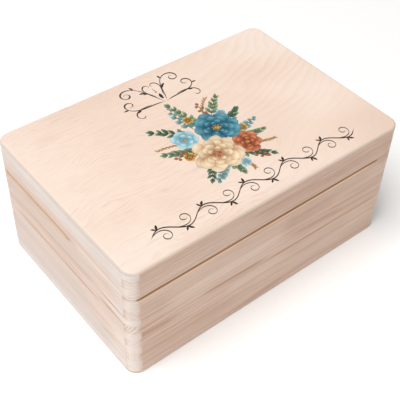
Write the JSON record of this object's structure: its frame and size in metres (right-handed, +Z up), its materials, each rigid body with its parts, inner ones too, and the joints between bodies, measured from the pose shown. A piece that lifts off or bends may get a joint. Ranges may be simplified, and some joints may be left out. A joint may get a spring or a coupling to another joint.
{
  "type": "hinged wooden box",
  "caption": "Rectangular comb-jointed pine box with rounded corners and a plywood top, whose lid swings up on hinges along the rear edge; it holds papers and keepsakes.",
  "frame": {"origin": "centre of the underside, on the surface that the box stands on", "axes": "+X along the long side, to the right as seen from the front; +Y from the front to the hinged rear; +Z up"},
  "size_m": [0.3, 0.2005, 0.13],
  "materials": {
    "pine_long": "sanded, unfinished",
    "pine_short": "sanded, unfinished",
    "ply_top": "sanded, unfinished",
    "ply_bottom": "sanded, unfinished",
    "hinge_metal": "bright",
    "pin_metal": "bright",
    "screw_metal": "bright"
  },
  "bodies": {
    "base": {"base_front_upper": "pine_long", "base_front_lower": "pine_long", "base_back_upper": "pine_long", "base_back_lower": "pine_long", "base_left_upper": "pine_short", "base_left_lower": "pine_short", "base_right_upper": "pine_short", "base_right_lower": "pine_short", "bottom_panel": "ply_bottom", "left_hinge_base_leaf": "hinge_metal", "right_hinge_base_leaf": "hinge_metal", "left_hinge_pin": "pin_metal", "right_hinge_pin": "pin_metal", "base_hinge_screws": "screw_metal"},
    "lid": {"lid_front_rail": "pine_long", "lid_back_rail": "pine_long", "lid_left_rail": "pine_short", "lid_right_rail": "pine_short", "lid_panel": "ply_top", "left_hinge_lid_leaf": "hinge_metal", "right_hinge_lid_leaf": "hinge_metal", "lid_hinge_screws": "screw_metal"}
  },
  "joints": [
    {"name": "lid_hinge", "type": "hinge", "parent": "base", "child": "lid", "pos_m": [0, 0.0988, 0.098], "axis": [-1, 0, 0], "range_deg": [0, 100]}
  ]
}
